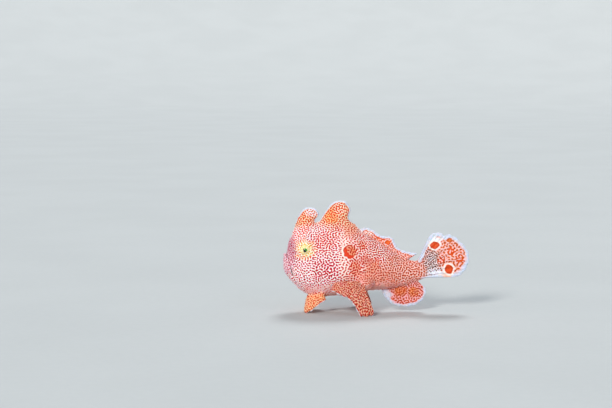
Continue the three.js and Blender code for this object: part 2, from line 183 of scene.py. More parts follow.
MARGIN_HALF = 0.2
RAY_HEIGHT = 0.26
RAY_SPLIT = (0.55, 0.85)
FINS = {
    "dorsal": {
        "rays": 12, "root_half": 0.75, "notch": 0.04, "band": 0.7, "fillet": 0.45,
        "root": [(-4.3, 18.2), (-1.3, 16.5), (2.9, 13.8), (6.4, 11.6)],
        "margin": [
            (-3.7, 19.5), (-2.9, 19.9), (-1.25, 19.55), (0.1, 18.6), (1.5, 17.9), (3.1, 17.75),
            (3.8, 17.5), (4.15, 16.6), (5.15, 15.05), (6.4, 14.45), (7.8, 14.1), (9.8, 13.85),
        ],
    },
    "anal": {
        "rays": 7, "root_half": 0.8, "notch": 0.03, "band": 0.95, "fillet": 0.5,
        "root": [(0.9, 6.8), (4, 7.2), (6.6, 7.9), (8.5, 8.3)],
        "margin": [
            (1.5, 4.1), (2.5, 2.8), (3.6, 1.75), (5, 1.25), (6.7, 1), (8.4, 1.2), (9.8, 1.75),
            (11, 2.8), (11.7, 4.15), (11.7, 5.4),
        ],
    },
    "caudal": {
        "rays": 9, "root_half": 0.9, "notch": 0.015, "band": 1.25, "fillet": 0.6,
        "root": [(9.3, 11.3), (9, 9.7), (9.3, 8)],
        "margin": [
            (12.3, 17.7), (13.3, 18.55), (14.35, 18.8), (15.5, 18.5), (16, 18.05), (17.1, 18.35),
            (18.15, 18), (19.5, 16.95), (20.9, 15.55), (21.6, 14.5), (21.97, 12.8), (21.75, 11.4),
            (20.9, 9.7), (19.85, 8.65), (18.4, 8.15),
        ],
    },
    "hand": {
        "rays": 10, "root_half": 1.0, "notch": 0.08, "band": 0.4, "fillet": 0.7,
        "root": [(-5, 6, 7.2), (-4.3, 6.3, 6.6), (-3.6, 6, 6.1)],
        "margin": [
            (-10.4, 6, 7.4), (-11.1, 6.5, 6.2), (-10, 7.5, 5.3), (-8.2, 8.3, 4.6), (-6.5, 8.7, 3.7),
            (-5.1, 8.8, 1.7), (-3.9, 8.8, -0.25), (-2, 8.5, -0.3), (-0.6, 7.7, 0.4),
        ],
        "bulge": (0, 0.7, 0.7),
    },
    "pelvic": {
        "rays": 5, "root_half": 0.9, "notch": 0.1, "band": 0.4, "fillet": 0.7,
        "root": [(-14.6, 1.2, 5), (-13.2, 1.9, 4.8), (-11.8, 2, 4.8)],
        "margin": [
            (-16.2, 0.9, -0.2), (-17, 1.6, -0.3), (-16.8, 2.9, -0.3), (-15.6, 3.8, 0.4),
            (-13.6, 4.1, 2), (-11.9, 3.7, 3.1),
        ],
        "bulge": (-0.5, 0.5, 0.1),
    },
}
ARM = [(-2.2, 2.4, 7.7), (-2.9, 4.3, 7.3), (-4.1, 6.1, 6.8)]
ARM_RADII = (2.1, 1.3)
ARM_FILLET = 0.9
PAIRED = ("hand", "pelvic")
LURE = [
    (-19.2, 1.1, 17.2), (-19.3, 2, 18.9), (-18.6, 2.7, 20.5), (-17.5, 2.9, 21.7), (-16.1, 2.8, 22.3),
]

# Coats of the skin: the ground between the marks, its pale specks (partly painted highlights on the
# papillae), the marks and their middles.
# The fill is how much the marks join up, and at -1 none are left. The period is their spacing,
# and the width is how much they are widened at the cost of the skin between them.


def coats(ground=None, speck_and_glint=None, mark=None, core=None, **numbers):
    """What an area lays on the skin: colours and numbers, without those that it leaves alone."""
    given = {"ground": ground, "speck_and_glint": speck_and_glint, "mark": mark, "core": core, **numbers}
    return {name: value for name, value in given.items() if value is not None}


BASE_NUMBERS = {"fill": -0.23, "period": 0.54, "width": 0.05}
BASE_COATS = coats("F0AEBE", "FFFAFA", "CE0028", "B40018")
MIDDLE_COATS = coats("EC8E80", "FDE0DE", "DC2A04", "A81A00", fill=-0.2, period=0.57, width=0.06)
REAR_COATS = coats("E87E60", "F8CAC6", "CC4A04", "963000", fill=-0.2, period=0.58, width=0.09)
TAIL_COATS = coats("F09A7A", "F6C4C6", "D66414", "B85008", fill=-0.21, period=0.66, width=0.06)
ZONES = [(-9.6, -7.2, MIDDLE_COATS), (-1.5, 3.5, REAR_COATS), (9.5, 12.5, TAIL_COATS)]
# The belly coats bear fewer marks and are made lighter, as painted fill light on the underside of the head
# and belly
BELLY_UP = (8.4, 5.6)
BELLY_ALONG = (-14, -10)
BELLY_COATS = coats("F49282", "F8AC9E", "E07E64", "D8705A", fill=-0.5)
SPINE_ROOT = (19, 21)
SPINE_COATS = coats("EE883C", "F8D8B4", "DE3E00", "C43000", fill=-0.12)
EYE_RIM_COATS = coats("F8D2BC", "FFF6E4", "EE6408", "E45408", fill=-0.22)
EYE_COATS = coats("FFEEA8", "FFFFF2", "FAB41C", "F09A10", fill=-0.24)
# Pale bluish margins of the fins and spine edges: partly their own pale edge and partly painted backlight
# through the thin margins
MARGIN_AND_BACKLIGHT_COATS = coats("B6C0E4", "D2DAF0", "D8B8C4", "D0A8B0", fill=-1)
SPINE_BAND = 0.5
SPINE_EDGE_HALF = 0.55
SPINE_EDGE_FROM = 20.6
MARGIN_RAGGED = 0.25
MARGIN_RAGGED_SIZE = 0.9
PALE_EDGES = [
    ([(10.2, 12.3), (11.2, 14.9), (12.3, 17.7)], 0.8),
    ([(10.8, 7.9), (12.6, 8.05), (15.2, 8.1)], 0.7),
]

# Areas of the side view: centre, half sizes, softness of the edge, coats

AREAS = [
    ((-20.7, 14.6), (2, 3.4), 0.4, coats("CA889A", "E2B2C4", "A43040")),
    ((-21.3, 10.6), (1.6, 3), 0.4, coats("EEB4C4", "F8DAE6", "C4526A")),
    # Throat: made lighter, as painted fill light under the head
    ((-17.8, 7.4), (3.4, 3), 0.5, coats("F4BECA", "FFF8FA", "D23A4C")),
    ((-14.4, 4.6), (3.6, 2.2), 0.4, coats("FCB0B0", "FFD6D4", "E46A66", fill=-0.33)),
    ((-18.4, 18.6), (2, 2.2), 0.5, coats(mark="EA3C08", core="D42C00")),
    (
        (-12.2, 17), (3, 2.3), 0.5,
        coats("EE867E", mark="D60406", core="BC0004", fill=-0.19, period=0.56, width=0.23),
    ),
    (
        (-12, 10.8), (3, 2.3), 0.5,
        coats("EE96A8", mark="CC0028", core="B00018", fill=-0.19, period=0.56, width=0.25),
    ),
    ((-9.4, 19.4), (2.2, 1.6), 0.5, coats("F08C7A", mark="D81E00", fill=-0.18, width=0.2)),
    ((-7.9, 13.6), (1.1, 6), 0.6, coats("FAC8C0", "FFEEEA", "EC6A5A", fill=-0.26, width=-0.12)),
    ((-6.2, 20), (1.8, 2.2), 0.4, coats("F0A08A", "F6BCAA", "E0704A")),
    ((-0.2, 8.8), (4.4, 2), 0.5, coats("EE8C76", "F4B0A0", "D65A32")),
    ((-6.4, 14.7), (1.5, 1.5), 0.2, coats("E06838", "F09C78", "CC2800", fill=-0.04)),
    ((-7.5, 14.9), (0.42, 0.8), 0.4, coats("E85420", mark="E03C08", fill=0.4)),
    ((-7.2, 14), (0.6, 0.5), 0.4, coats("E85420", mark="E03C08", core="D63606", fill=0.5)),
    ((-6.5, 13.6), (0.75, 0.4), 0.4, coats("E85420", mark="E03C08", core="D63606", fill=0.5)),
    ((-3.4, 16.1), (1, 1), 0.25, coats("E6562A", "FFD8C8", "DC2400", fill=-0.1, width=0.3)),
    ((-2, 12.7), (2.2, 1.1), 0.4, coats("E07668", "EEA8A0", "C84422")),
    ((-5.1, 10.9), (1.3, 1.6), 0.3, coats("E46C48", "F4AE98", "D62C00", fill=-0.1, width=0.08)),
    ((0.4, 14.7), (2.8, 2.6), 0.4, coats("F08C76", "FFF4F4", "DC2600", "9A1400", width=0.21)),
    ((-1, 10.9), (1.8, 1.4), 0.4, coats("EA8464", "F4AE9A", "D64E20")),
]
SPINE_AREAS = [
    ((-17.2, 21), (1.4, 3), 0.4, coats(mark="EC3E00", fill=-0.08)),
    ((-15.2, 23.7), (1.5, 1.1), 0.4, coats("F4D6D4", "FBF2F8", "F0A084")),
    ((-10.7, 22.7), (1.7, 1.5), 0.25, coats("F88C2C", "FCC48C", "EE4600", fill=-0.02)),
    ((-8.7, 24.6), (1.3, 1.5), 0.3, coats("F69E64", "FFEAD8", "EE4600", fill=-0.08)),
]

# Coats of the fins, within a range of x and of z, and areas on them

FIN_COATS = [
    ((0.5, 12.2), (-1, 7.2), coats("EC8260", "F4B2BA", "D64E08", "9C3400", fill=-0.16)),
    ((-5, 10.2), (12.5, 20.5), coats("F09C88", "F8CCCA", "DA6438", "CA4C20")),
    ((-12, 0.5), (-1, 9), coats("CC5830", "E8B298", "C22600", "A01800", width=0.08)),
    ((-18, -11), (-1, 5), coats("F49A58", "FAC89C", "EA5C14", fill=-0.14)),
]
FIN_AREAS = [
    ((-2.4, 18.9), (1.5, 0.9), 0.5, coats("F6C8C4", "FFF0F0", "E27C60", fill=-0.28)),
    ((0.6, 17.5), (1.6, 0.6), 0.5, coats("F09A74", mark="E46430", core="DC5420", fill=0.12)),
    ((2.6, 16.4), (0.6, 0.55), 0.35, coats("EC7030", mark="E8641C", core="E05A14", fill=0.5)),
    ((5.6, 5), (1.5, 1.3), 0.4, coats("E87838", "EE9468", "DC4C08", fill=0.02)),
    ((8.8, 4.7), (1.3, 1.2), 0.4, coats("E87C3C", "EE986C", "D84C0A", fill=0.02)),
    ((1.8, 3.9), (1.7, 1.6), 0.5, coats("C4C4DE", "DCDCEE", fill=-0.8)),
    ((12.9, 11.8), (1.9, 3.2), 0.5, coats("C09490", "E6D6DC", "7C4424", "441A08", fill=-0.16, period=0.54)),
    ((14.2, 9.2), (2, 1.1), 0.6, coats("D4DAEE", "F2F6FE", "946C58", fill=-0.4)),
    ((13.5, 17.6), (2, 1.3), 0.4, coats("E0DEEE", "F4F6FF", "E0A89C", fill=-0.7)),
    ((14.6, 17.9), (0.7, 0.45), 0.5, coats("E09C88", "E8AC9A", fill=-0.9)),
    ((17.8, 8.5), (2.4, 0.8), 0.5, coats("F4AC92", "F8C4B0", fill=-0.9)),
    ((17.7, 14.3), (1, 1), 0.4, coats("F08A40", mark="E4540E", core="D8480A", fill=0.15)),
    ((19.7, 12.6), (1, 0.95), 0.4, coats("EC8440", mark="DC5210", core="C8440A", fill=0.15)),
    ((15.2, 12.2), (0.9, 1), 0.4, coats("EC8450", mark="D8480C", core="B4380C", fill=0.12)),
    ((17.2, 17.1), (0.6, 0.6), 0.4, coats("E48848", mark="D06420", core="CC5818", fill=0.4)),
]
OCELLI = [((13.6, 15.7), (1.15, 0.85)), ((17.05, 10.05), (1.05, 1.05))]
OCELLUS_RING = 0.3
RING_SOFT = 0.2
OCELLUS_SOFT = 0.12
RING_COATS = coats("FFEFEC", "FFFAF8", fill=-2)
OCELLUS_COATS = coats("E86A24", "EC7C3C", "DE4A0C", "C43C06", fill=0.42)

RAGGED = 0.2
RAGGED_SIZE = 0.8
GLOW_RIM = (2.85, 2.05)
GLOW_MIDDLE = (2.1, 1.4)
GLOW_RAGGED = 0.5
# Cool and warm tints of the pale specks, which are partly painted highlights
PALE_HUES = ("E4F6F4", "FFF0D2")
LILAC_HUE = "EFC0DA"

# Eye, lure, floor, lights and camera

PUPIL_ANGLE = 0.35
PUPIL_SOFT = (0.05, -0.03)
CORNEA_SWELL = 0.1
IRIS_RIDGE = 0.008
IRIS_INNER = (0.4, 0.6)
IRIS_OUTER = (1.4, 1.0)
IRIS_HUES = ("FFF6BE", "F8BE2C")
# Pupil colours: its own dark colour and the green of a painted eyeshine reflection
PUPIL_AND_EYESHINE_HUES = ("02050E", "3A9410")
LURE_RADII = (0.2, 0.11)
LURE_BULB = (0.3, 0.24, 0.26)
LURE_FILAMENTS = 34
FILAMENT_RADII = (0.075, 0.025)
FILAMENT_LENGTHS = (0.5, 0.95)
LURE_HUES = ("F8DCD8", "DE6A50")
OWN_PIECES = ("eye_left", "eye_right", "illicium")
FLOOR_RADIUS = 2600
FLOOR_RISE = 420
FLOOR_HUES = ("BCC3C6", "BFC6C9")
LENS = 105
SENSOR = 36
CAMERA_DISTANCE = 421
CAMERA_RISE = 5
CAMERA_TARGET = (-16.7, 0, 25.5)
LIGHTS = [
    ("key", (-0.45, -1.0, 0.6), 2.42, 14, "FFF8F0"),
    ("fill", (0.9, -0.8, 0.4), 0.55, 50, "F0F6FF"),
    ("rim", (0.15, 0.9, 1.2), 1.5, 20, "FFFFFF"),
]
WORLD_HUE = "E6ECF2"
WORLD_STRENGTH = 0.4


def profile(points):
    """A smooth curve through points of rising position, which never overshoots them."""
    x, y = np.array(points, float).T
    step = np.diff(x)
    slope = np.diff(y) / step
    product = slope[:-1] * slope[1:]
    total = np.where(product > 0, slope[:-1] + slope[1:], 1)
    tangent = np.concatenate([slope[:1], np.where(product > 0, 2 * product / total, 0), slope[-1:]])

    def at(value):
        i = np.clip(np.searchsorted(x, value, side="right") - 1, 0, len(step) - 1)
        t = np.clip((value - x[i]) / step[i], 0, 1)
        low = (1 + 2 * t) * (1 - t) ** 2 * y[i] + t * (1 - t) ** 2 * step[i] * tangent[i]
        high = t**2 * (3 - 2 * t) * y[i + 1] + t**2 * (t - 1) * step[i] * tangent[i + 1]
        return low + high

    return at


def curve(points, samples=60):
    """A centripetal curve through the points, read by its share of the length."""
    path = np.array([p if len(p) == 3 else (p[0], 0, p[1]) for p in points], float)
    path = np.vstack([2 * path[0] - path[1], path, 2 * path[-1] - path[-2]])
    t = np.linspace(0, 1, samples, endpoint=False)[:, None]
    line = []
    for a, b, c, d in zip(path, path[1:], path[2:], path[3:]):
        ka, kb, kc = (np.sqrt(np.linalg.norm(q - p)) for p, q in ((a, b), (b, c), (c, d)))
        start = kb * ((b - a) / ka - (c - a) / (ka + kb) + (c - b) / kb)
        end = kb * ((c - b) / kb - (d - b) / (kb + kc) + (d - c) / kc)
        line.append((2 * t**3 - 3 * t**2 + 1) * b + (t**3 - 2 * t**2 + t) * start)
        line[-1] += (3 * t**2 - 2 * t**3) * c + (t**3 - t**2) * end
    line = np.vstack([*line, path[-2:-1]])
    length = np.concatenate([[0], np.cumsum(np.linalg.norm(np.diff(line, axis=0), axis=1))])

    def at(share):
        reach = np.asarray(share) * length[-1]
        return np.stack([np.interp(reach, length, line[:, k]) for k in range(3)], -1)

    return at


def smoothstep(value, low, high):
    t = np.clip((value - low) / (high - low), 0, 1)
    return t * t * (3 - 2 * t)


def between_corners(cell, t, read):
    """Blends what is read at the eight corners of a cell, at the shares t of the way across."""
    total = np.zeros(len(t))
    for corner in np.ndindex(2, 2, 2):
        weight = np.prod(np.where(np.array(corner, bool), t, 1 - t), axis=-1)
        total += weight * read(cell + corner)
    return total


def unit(vectors):
    """The directions of vectors."""
    return vectors / np.maximum(np.linalg.norm(vectors, axis=-1, keepdims=True), 1e-9)


def turns(count):
    """Angles once round a circle."""
    return np.linspace(0, 2 * np.pi, count, endpoint=False)


# Closed meshes, as places and triangles


def skin_over(grid, wrapped):
    """Triangles over a grid of places, closed round its columns if wrapped."""
    rows, columns = grid.shape[:2]
    index = np.arange(rows * columns).reshape(rows, columns)
    after = np.roll(index, -1, 1) if wrapped else index[:, 1:]
    before = index if wrapped else index[:, :-1]
    a, b, c, d = before[:-1], before[1:], after[1:], after[:-1]
    corners = [np.stack([a, b, c], -1), np.stack([a, c, d], -1)]
    return grid.reshape(-1, 3), np.concatenate([c.reshape(-1, 3) for c in corners])


def closed(places, faces):
    """Drops the faces that have shrunk to a line at a pole or an edge."""
    p = places[faces]
    area = np.linalg.norm(np.cross(p[:, 1] - p[:, 0], p[:, 2] - p[:, 0]), axis=1)
    return places, faces[area > 1e-9]


def joined(meshes):
    """One mesh made of several."""
    starts = np.cumsum([0] + [len(places) for places, _ in meshes])
    faces = [part + start for (_, part), start in zip(meshes, starts)]
    return np.concatenate([places for places, _ in meshes]), np.concatenate(faces)


def both(mesh):
    """A mesh and its mirror image on the other flank."""
    places, faces = mesh
    return mesh, (places * (1, -1, 1), faces)


def loft(axis, start, end, low, high, half, stations, sides, egg=0):
    """Ellipses stacked along X or Z, each between a low and a high edge in the middle plane."""
    along = start + (end - start) * (1 - np.cos(np.linspace(0, np.pi, stations))) / 2
    along = along[:, None]
    turn = turns(sides)[None]
    cos, sin = np.cos(turn), np.sin(turn)
    middle = (high(along) + low(along)) / 2 + (high(along) - low(along)) / 2 * cos
    across = half(along) * np.sign(sin) * np.abs(sin) ** ROUNDNESS * (1 - egg * cos)
    along = np.broadcast_to(along, middle.shape)
    order = (along, across, middle) if axis == "x" else (middle, across, along)
    return closed(*skin_over(np.stack(order, -1), True))


def taper(start, end):
    return lambda t: start + (end - start) * t


def limb(path, radius, stations=60, sides=32):
    """A round tapering limb along a curve, closed at both ends by a dome."""
    t = (1 - np.cos(np.linspace(0, np.pi, stations))) / 2
    centre = path(t)
    length = np.linalg.norm(np.diff(centre, axis=0), axis=1).sum()
    tangent = unit(np.gradient(centre, axis=0))
    side = np.cross((0, 1, 0), tangent)
    flat = np.linalg.norm(side, axis=1) < 0.45
    side[flat] = np.cross((1, 0, 0), tangent[flat])
    side = unit(side)
    other = np.cross(tangent, side)
    full = radius(t) + 0 * t
    inset = 1 - np.minimum(1, np.minimum(t, 1 - t) * length / full)
    dome = (full * np.sqrt(1 - inset**2))[:, None, None]
    turn = turns(sides)[None, :, None]
    ring = side[:, None] * np.cos(turn) + other[:, None] * np.sin(turn)
    return closed(*skin_over(centre[:, None] + dome * ring, True))


def ball(centre, radii, stations=48, sides=64):
    polar = np.linspace(0, np.pi, stations)[:, None]
    turn = turns(sides)[None]
    x, y = np.sin(polar) * np.cos(turn), np.sin(polar) * np.sin(turn)
    grid = np.stack([x, y, np.cos(polar) + 0 * turn], -1)
    return closed(*skin_over(np.array(centre) + grid * np.array(radii), True))


def ring(centre, radius, thickness, lean, wobble, stations=96, sides=20):
    """A round rim that faces the flank, made a little uneven by its wobble."""
    turn = np.linspace(0, 2 * np.pi, stations)[:, None]
    small = turns(sides)[None]
    wide = radius * (1 + wobble * np.sin(3 * turn + 1)) + thickness * np.cos(small)
    x, z = wide * np.cos(turn), wide * np.sin(turn)
    y = thickness * np.sin(small) + lean * x
    return closed(*skin_over(np.array(centre) + np.stack([x, y, z], -1), True))


def ray_crest(fin, u, v):
    """Ridges of the fin rays, each split in two towards the margin."""
    single = (0.5 - 0.5 * np.cos(2 * np.pi * fin["rays"] * u)) ** 3
    double = (0.5 - 0.5 * np.cos(4 * np.pi * fin["rays"] * u)) ** 2 * single ** 0.15
    split = smoothstep(v, *RAY_SPLIT)
    return single * (1 - split) + double * split


def fin_middle(fin, u, v):
    crest = 0.5 - 0.5 * np.cos(2 * np.pi * fin["rays"] * u)
    reach = (v * (1 - fin["notch"] * (1 - crest)))[..., None]
    root = curve(fin["root"])(u)
    margin = curve(fin["margin"])(u)
    bow = np.array(fin.get("bulge", (0, 0, 0)), float)
    return root * (1 - reach) + margin * reach + bow * np.sin(np.pi * v)[..., None]


def fin_mesh(fin, rows=70, columns_a_ray=24):
    """A fin with its rays, thick at the root and thin at the margin."""
    columns = columns_a_ray * fin["rays"] + 1
    u, v = np.meshgrid(np.linspace(0, 1, columns), np.linspace(0, 1, rows), indexing="ij")
    middle = fin_middle(fin, u, v)
    normal = unit(np.cross(np.gradient(middle, axis=0), np.gradient(middle, axis=1)))
    half = fin["root_half"] + (MARGIN_HALF - fin["root_half"]) * np.minimum(1, v * 1.25) ** 0.8
    half = half + RAY_HEIGHT * ray_crest(fin, u, v) * smoothstep(1 - v, 0, 0.12)
    edge = np.minimum(np.minimum(u, 1 - u) * 40, (1 - v) * 22)
    half = half * np.sqrt(np.clip(edge, 0, 1) * (2 - np.clip(edge, 0, 1))) * (v > 0)
    sides = [skin_over(middle + normal * half[..., None] * side, False) for side in (1, -1)]
    return closed(*joined(sides))


# The flesh as one field of distances, from which one skin is drawn


class Flesh:
    """A box of distances to the surface, with how much of each kind of part is at each place."""

    def __init__(self):
        self.low = np.floor(GRID_LOW / PITCH).astype(int)
        self.shape = tuple(np.ceil(GRID_HIGH / PITCH).astype(int) - self.low)
        self.far = BAND * PITCH
        self.values = np.full(self.shape, self.far, np.float32)
        self.kinds = {kind: np.zeros(self.shape, np.float16) for kind in ("fin", "spine")}
        self.transform = openvdb.createLinearTransform(voxelSize=PITCH)

    def distance(self, mesh):
        """The signed distance to a mesh, and the part of the box that it touches."""
        places, faces = mesh
        grid = openvdb.FloatGrid.createLevelSetFromPolygons(
            places.astype(np.float32),
            triangles=faces.astype(np.uint32),
            transform=self.transform,
            halfWidth=BAND,
        )
        low = np.maximum(np.floor(places.min(0) / PITCH).astype(int) - BAND, self.low)
        high = np.ceil(places.max(0) / PITCH).astype(int) + BAND
        high = np.minimum(high, self.low + self.shape)
        found = np.full(tuple(high - low), self.far, np.float32)
        grid.copyToArray(found, ijk=tuple(low.tolist()))
        where = tuple(slice(a, b) for a, b in zip(low - self.low, high - self.low))
        return found, where

    def add(self, mesh, soft, kind=None):
        """Joins a mesh on, with a fillet of about the given size."""
        found, where = self.distance(mesh)
        here = self.values[where]
        share = np.clip(0.5 + (here - found) / (2 * soft), 0, 1)
        self.values[where] = here + (found - here) * share - soft * share * (1 - share)
        for name, amount in self.kinds.items():
            amount[where] = amount[where] * (1 - share) + (share if name == kind else 0)

    def cut(self, mesh, soft, depth=9.0):
        """Takes a mesh away down to a depth, with its edge rounded by about the given size."""
        found, where = self.distance(mesh)
        here = self.values[where]
        found = np.maximum(found, -here - depth)
        share = np.clip(0.5 - (here + found) / (2 * soft), 0, 1)
        self.values[where] = here + (-found - here) * share + soft * share * (1 - share)

    def add_pair(self, mesh, *settings):
        for side in both(mesh):
            self.add(side, *settings)

    def cut_pair(self, mesh, *settings):
        for side in both(mesh):
            self.cut(side, *settings)

    def stand_on_floor(self):
        """Presses what reaches below the floor flat."""
        height = (self.low[2] + np.arange(self.shape[2])) * PITCH
        self.values = np.maximum(self.values, -height.astype(np.float32))

    def skin(self):
        """The surface of the flesh, as places and faces of four corners that face out."""
        grid = openvdb.FloatGrid(self.far)
        grid.transform = self.transform
        values = np.clip(self.values, -self.far, self.far)
        grid.copyFromArray(values, ijk=tuple(self.low.tolist()))
        places, quads = grid.convertToQuads(isovalue=0.0)
        places, quads = np.array(places, float), np.array(quads, int)
        a, b, c, d = (places[quads[:, i]] for i in range(4))
        volume = (a * np.cross(c - a, d - b)).sum()
        return places, quads if volume > 0 else quads[:, ::-1]

    def share_of(self, kind, places):
        """How much of a kind of part is at each place, from 0 to 1."""
        spot = places / PITCH - self.low
        cell = np.clip(np.floor(spot).astype(int), 0, np.array(self.shape) - 2)
        amount = self.kinds[kind]
        return np.clip(between_corners(cell, spot - cell, lambda at: amount[tuple(at.T)]), 0, 1)


# Seeded randomness in space


class Noise:
    """Smooth random values from -1 to 1, about one feature a unit."""

    def __init__(self, seed):
        self.table = np.random.default_rng(seed).uniform(-1, 1, [NOISE_SIZE] * 3)

    def __call__(self, places):
        cell = np.floor(places).astype(int)
        t = places - cell
        t = t**3 * (t * (t * 6 - 15) + 10)
        return between_corners(cell, t, lambda at: self.table[tuple(at.T % NOISE_SIZE)])


def bumps(places, cell, share, seed):
    """Round bumps of mixed sizes, at most one to a cell: their height, from 0 to 1."""
    rng = np.random.default_rng(seed)
    table = [NOISE_SIZE] * 3
    centre = rng.uniform(0.15, 0.85, table + [3])
    size = rng.uniform(0.22, 0.5, table)
    size[rng.random(table) > share] = 0
    scaled = places / cell
    base = np.floor(scaled).astype(int)
    height = np.zeros(len(places))
    for step in np.ndindex(3, 3, 3):
        here = base + step - 1
        index = tuple(here.T % NOISE_SIZE)
        reach = np.maximum(size[index], 1e-6)
        gap = np.linalg.norm(scaled - here - centre[index], axis=1) / reach
        height = np.maximum(height, reach * 2 * np.clip(1 - gap**2, 0, 1) ** 2)
    return height


# Form of the flesh

body_top = profile(BODY_TOP)
body_bottom = profile(BODY_BOTTOM)
body_half = profile(BODY_HALF_WIDTH)
mouth_x = profile(MOUTH_LINE)


def flank(x, z):
    """How far the flank stands out at a place of the side view."""
    middle = (body_top(x) + body_bottom(x)) / 2
    reach = (body_top(x) - body_bottom(x)) / 2
    cos = np.clip((z - middle) / reach, -1, 1)
    return body_half(x) * np.sqrt(1 - cos**2) ** ROUNDNESS * (1 - BODY_EGG * cos)


def spine(shape):
    (foot, _), *_, (tip, _) = shape["half"]
    edges = (profile(shape[name]) for name in ("front", "rear", "half"))
    return loft("z", foot, tip, *edges, stations=120, sides=72)


def settle(value, rule):
    """Goes half way towards what the rule makes of the value, until they agree."""
    for _ in range(SETTLE_ROUNDS):
        value = (value + rule(value)) / 2
    return value


def lip_line():
    """The line of the mouth, from one corner over the notch of the chin to the other."""
    notch = settle(NOTCH_Z, lambda z: body_top(mouth_x(z)))
    line = []
    for side in np.linspace(-1, 1, 41):
        z = notch - (notch - MOUTH_CORNER_Z) * side**2
        y = settle(1.0, lambda y: flank(mouth_x(z) + MOUTH_BOW * y**2, z))
        line.append((mouth_x(z) + MOUTH_BOW * y**2, y * np.sign(side), z))
    return np.array(line)


def lip(shift):
    """A soft roll along one side of the mouth, thinner at the corners."""
    path = curve(lip_line() * (1, 0.95, 1) + (shift, 0, -0.1), samples=8)

    def radius(t):
        return LIP_RADIUS * (0.4 + 0.6 * np.sin(np.pi * t) ** 0.6)

    return limb(path, radius, stations=200, sides=20)


def mouth_slit():
    """The thin gap between the lips, which follows the bow of the jaw."""
    steps = 90
    across = np.linspace(-MOUTH_HALF_WIDTH, MOUTH_HALF_WIDTH, steps)
    y, z = np.meshgrid(across, np.linspace(MOUTH_CORNER_Z, MOUTH_TOP_Z, steps), indexing="ij")
    middle = np.stack([mouth_x(z) + MOUTH_BOW * y**2, y, z], -1)
    half = np.zeros((steps, steps, 1))
    half[1:-1, 1:-1] = MOUTH_GAP / 2
    front = skin_over(middle - half * (1, 0, 0), False)
    places, faces = skin_over(middle + half * (1, 0, 0), False)
    return joined([front, (places, faces[:, ::-1])])


def peg(x, z, radius, inner, outer, lean):
    """A short round peg through the skin, from below it to above it."""
    foot = np.array([x, flank(x, z), z])
    way = unit(np.array(lean))
    path = curve([foot + way * inner, foot + way * (inner + outer) / 2, foot + way * outer], 8)
    return limb(path, lambda t: radius, stations=24, sides=24)


def fold(shift, low, high, radius):
    """A soft fold of skin behind the corner of the mouth."""
    heights = np.linspace(low, high, 6)
    path = [(mouth_x(z) + shift, flank(mouth_x(z) + shift, z) - radius * 0.7, z) for z in heights]

    def bulge(t):
        return radius * (0.5 + 0.5 * np.sin(np.pi * t))

    return limb(curve(path, 12), bulge, stations=50, sides=20)


def add_fins(flesh):
    for name, fin in FINS.items():
        add = flesh.add_pair if name in PAIRED else flesh.add
        add(fin_mesh(fin), fin["fillet"], "fin")


def add_mouth(flesh):
    for shift in (-LIP_OFFSET, LIP_OFFSET):
        flesh.add(lip(shift), LIP_FILLET)
    for shape in MOUTH_FOLDS:
        flesh.add_pair(fold(*shape), FOLD_FILLET)
    flesh.cut(mouth_slit(), MOUTH_EDGE, MOUTH_DEPTH)


def add_eye_openings(flesh):
    x, _, z = EYE_CENTRE
    lid_y = BROW_CENTRE[1] + BROW_RADII[1] * LID_HEIGHT
    lid = ring((x, lid_y, z), LID_RADIUS, LID_THICKNESS, LID_LEAN, LID_WOBBLE)
    flesh.add_pair(lid, LID_FILLET)
    flesh.cut_pair(ball(EYE_CENTRE, [EYE_RADIUS + SOCKET_GAP] * 3), SOCKET_EDGE)


def add_pores(flesh):
    """Two short nostril tubes before each eye and the gill pore behind each arm."""
    for x, z, radius, height in NOSTRILS:
        tube = peg(x, z, radius, -0.5, height, NOSTRIL_WAY)
        bore = peg(x, z, radius * 0.5, height - 0.5, height + 0.6, NOSTRIL_WAY)
        flesh.add_pair(tube, NOSTRIL_FILLET)
        flesh.cut_pair(bore, PORE_EDGE)
    x, z, radius = GILL_PORE
    rim = peg(x, z, radius * 1.8, -2 * radius, radius, GILL_PORE_WAY)
    pore = peg(x, z, radius, -radius, radius * 5, GILL_PORE_WAY)
    flesh.add_pair(rim, GILL_PORE_FILLET)
    flesh.cut_pair(pore, PORE_EDGE)


def build_flesh():
    flesh = Flesh()
    edges = (body_bottom, body_top, body_half)
    body = loft("x", JAW_TIP_X, BODY_END_X, *edges, stations=260, sides=160, egg=BODY_EGG)
    flesh.add(body, 0.01)
    flesh.add_pair(ball(BROW_CENTRE, BROW_RADII), BROW_FILLET)
    for shape in (THIRD_SPINE, SECOND_SPINE):
        flesh.add(spine(shape), shape["fillet"], "spine")
    flesh.add_pair(limb(curve(ARM), taper(*ARM_RADII)), ARM_FILLET)
    add_fins(flesh)
    add_mouth(flesh)
    add_eye_openings(flesh)
    add_pores(flesh)
    flesh.stand_on_floor()
    return flesh


# The skin and its relief


class Surface:
    """A closed net of quads, with the joins between neighbouring corners."""

    def __init__(self, places, quads):
        self.places = places
        self.quads = quads
        pairs = np.concatenate([quads[:, [i, (i + 1) % 4]] for i in range(4)])
        low, high = pairs.min(1), pairs.max(1)
        code = np.unique(low * len(places) + high)
        low, high = np.divmod(code, len(places))
        self.here = np.concatenate([low, high])
        self.there = np.concatenate([high, low])
        self.joins = np.bincount(self.here, minlength=len(places))
        self.edge = np.linalg.norm(places[low] - places[high], axis=1).mean()

    def around(self, values):
        """The mean of the values at each corner's neighbours."""
        if values.ndim == 2:
            return np.stack([self.around(column) for column in values.T], 1)
        return np.bincount(self.here, values[self.there], len(self.places)) / self.joins

    def relax(self):
        """Takes out the steps that the box of distances leaves, without shrinking."""
        for share in RELAX_SHARES * RELAX_ROUNDS:
            self.places = self.places + (self.around(self.places) - self.places) * share

    def normals(self):
        a, b, c, d = (self.places[self.quads[:, i]] for i in range(4))
        faces = np.cross(c - a, d - b)
        total = np.zeros_like(self.places)
        for i in range(4):
            for k in range(3):
                total[:, k] += np.bincount(self.quads[:, i], faces[:, k], len(self.places))
        return unit(total)


